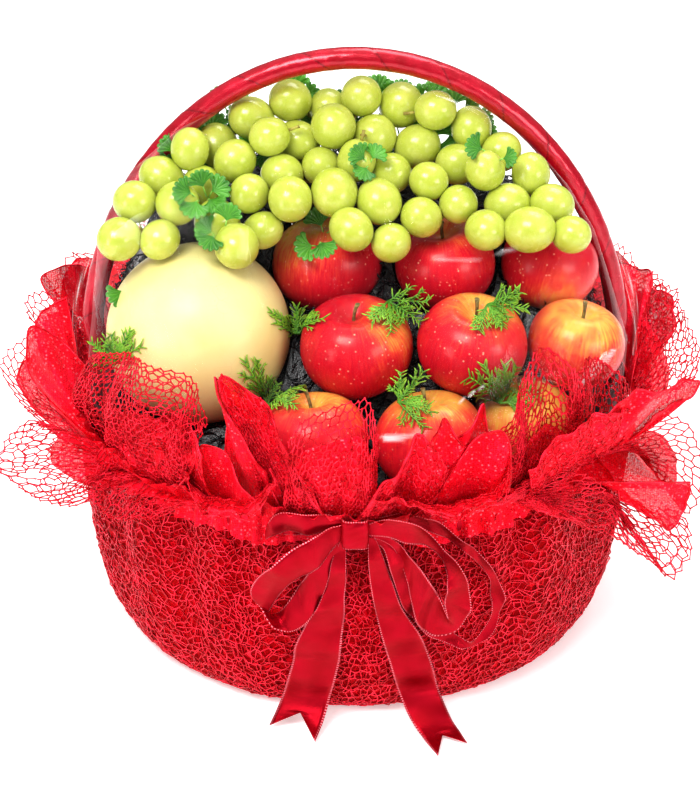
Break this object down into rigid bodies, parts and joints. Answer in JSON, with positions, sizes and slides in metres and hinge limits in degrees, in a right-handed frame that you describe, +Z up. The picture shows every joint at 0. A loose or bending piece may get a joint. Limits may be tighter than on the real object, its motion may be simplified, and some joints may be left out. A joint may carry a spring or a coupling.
{
  "type": "fruit gift basket",
  "caption": "Round gift basket wrapped in net with a frilled collar, satin bow and hoop handle, filled with a melon, apples and grapes under clear film.",
  "frame": {"origin": "centre of the basket's flat foot, on the surface it stands on", "axes": "+Z up; the fruit display and the bow face -Y; +X is to the right seen from the front; the hoop handle stands in the plane Y = 0"},
  "size_m": [0.5189, 0.4973, 0.4366],
  "materials": {
    "bowl_plastic": "matte",
    "red_net": "semi-gloss net",
    "red_satin": "satin",
    "handle_ribbon": "gloss",
    "melon_rind": "smooth rind",
    "apple_skin": "waxy",
    "grape_skin": "waxy, slightly see-through",
    "parsley_leaf": "leaf",
    "conifer_sprig": "leaf",
    "black_filling": "shredded",
    "clear_film": "clear film"
  },
  "bodies": {
    "root": {"bowl": "bowl_plastic", "net_wrap": "red_net", "net_collar": "red_net", "net_flap": "red_net", "tie_ribbon": "red_satin", "bow": "red_satin", "handle": "handle_ribbon", "melon": "melon_rind", "filling": "black_filling", "film_front": "clear_film", "film_back": "clear_film", "apple_top_left": "apple_skin", "apple_top_middle": "apple_skin", "apple_top_right": "apple_skin", "apple_middle_left": "apple_skin", "apple_middle": "apple_skin", "apple_middle_right": "apple_skin", "apple_low_left": "apple_skin", "apple_low_middle": "apple_skin", "apple_low_right": "apple_skin", "grapes_right": "grape_skin", "grapes_middle": "grape_skin", "grapes_left": "grape_skin", "parsley_01": "parsley_leaf", "parsley_02": "parsley_leaf", "parsley_03": "parsley_leaf", "parsley_04": "parsley_leaf", "parsley_05": "parsley_leaf", "parsley_06": "parsley_leaf", "parsley_07": "parsley_leaf", "parsley_08": "parsley_leaf", "parsley_09": "parsley_leaf", "parsley_10": "parsley_leaf", "parsley_11": "parsley_leaf", "parsley_12": "parsley_leaf", "parsley_13": "parsley_leaf", "sprig_01": "conifer_sprig", "sprig_02": "conifer_sprig", "sprig_03": "conifer_sprig", "sprig_04": "conifer_sprig", "sprig_05": "conifer_sprig", "sprig_06": "conifer_sprig", "sprig_07": "conifer_sprig"}
  },
  "joints": []
}
